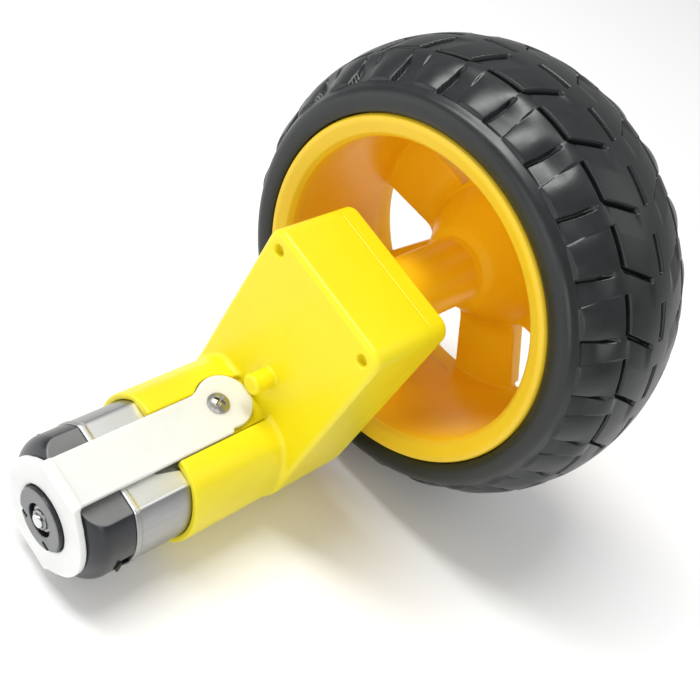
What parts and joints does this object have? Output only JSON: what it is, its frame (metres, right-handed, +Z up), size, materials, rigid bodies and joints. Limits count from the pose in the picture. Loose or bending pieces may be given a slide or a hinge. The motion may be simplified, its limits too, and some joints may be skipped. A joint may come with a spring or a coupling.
{
  "type": "geared hobby motor with drive wheel",
  "caption": "Yellow gearbox with a strapped can motor on one side and a spoked drive wheel with a treaded rubber tyre on the other.",
  "frame": {"origin": "centre of the bounding box, which lies on the wheel axis", "axes": "+Y along the wheel axis from the motor towards the wheel; +Z up, the floor is the plane through the lowest point of the tyre; +X completes a right-handed set, and the gearbox leans about Y until its round lower end touches the floor"},
  "size_m": [0.0684, 0.0784, 0.0684],
  "materials": {
    "tyre": "matt black rubber with a slight sheen",
    "yellow_gloss": "bright yellow gloss moulding",
    "wheel_yellow": "deep yellow gloss moulding",
    "white_nylon": "milky white translucent nylon",
    "gear_white": "natural white acetal",
    "black_plastic": "black moulded plastic",
    "steel": "plated drawn steel",
    "screw_steel": "bright zinc plated",
    "bronze": "sintered bronze",
    "brass": "brass sheet",
    "copper": "enamelled copper wire",
    "ferrite": "dark ferrite",
    "lamination": "stacked silicon steel"
  },
  "bodies": {
    "housing": {"gearbox_rear": "yellow_gloss", "gearbox_front": "yellow_gloss", "gearbox_screws": "screw_steel", "gear_pin": "steel", "motor_can": "steel", "magnets": "ferrite", "magnet_clips": "steel", "front_bushing": "bronze", "rear_bushing": "bronze", "end_cap": "black_plastic", "brushes": "brass", "terminals": "brass", "strap": "white_nylon", "strap_screws": "screw_steel"},
    "wheel": {"tyre": "tyre", "wheel_rim": "wheel_yellow", "wheel_screw": "screw_steel", "output_shaft": "gear_white", "output_gear": "gear_white"},
    "third_gear": {"third_gear": "gear_white"},
    "second_gear": {"second_gear": "gear_white"},
    "first_gear": {"first_gear": "gear_white"},
    "rotor": {"motor_pinion": "gear_white", "motor_shaft": "steel", "rotor_core": "lamination", "windings": "copper", "commutator": "copper"}
  },
  "joints": [
    {"name": "wheel_spin", "type": "hinge", "parent": "housing", "child": "wheel", "pos_m": [0, 0.00728, 0], "axis": [0, 1, 0], "continuous": true},
    {"name": "third_gear_spin", "type": "hinge", "parent": "housing", "child": "third_gear", "pos_m": [-0.00258, 0.00229, -0.01172], "axis": [0, 1, 0], "continuous": true},
    {"name": "second_gear_spin", "type": "hinge", "parent": "housing", "child": "second_gear", "pos_m": [0, -0.00072, 0], "axis": [0, 1, 0], "continuous": true},
    {"name": "first_gear_spin", "type": "hinge", "parent": "housing", "child": "first_gear", "pos_m": [-0.00258, 0.00229, -0.01172], "axis": [0, 1, 0], "continuous": true},
    {"name": "rotor_spin", "type": "hinge", "parent": "housing", "child": "rotor", "pos_m": [-0.00505, -0.01272, -0.02295], "axis": [0, 1, 0], "continuous": true}
  ],
  "couplings": [
    {"joint": "third_gear_spin", "follows": "wheel_spin", "ratio": -2},
    {"joint": "second_gear_spin", "follows": "wheel_spin", "ratio": 6},
    {"joint": "first_gear_spin", "follows": "wheel_spin", "ratio": -12},
    {"joint": "rotor_spin", "follows": "wheel_spin", "ratio": 48}
  ]
}
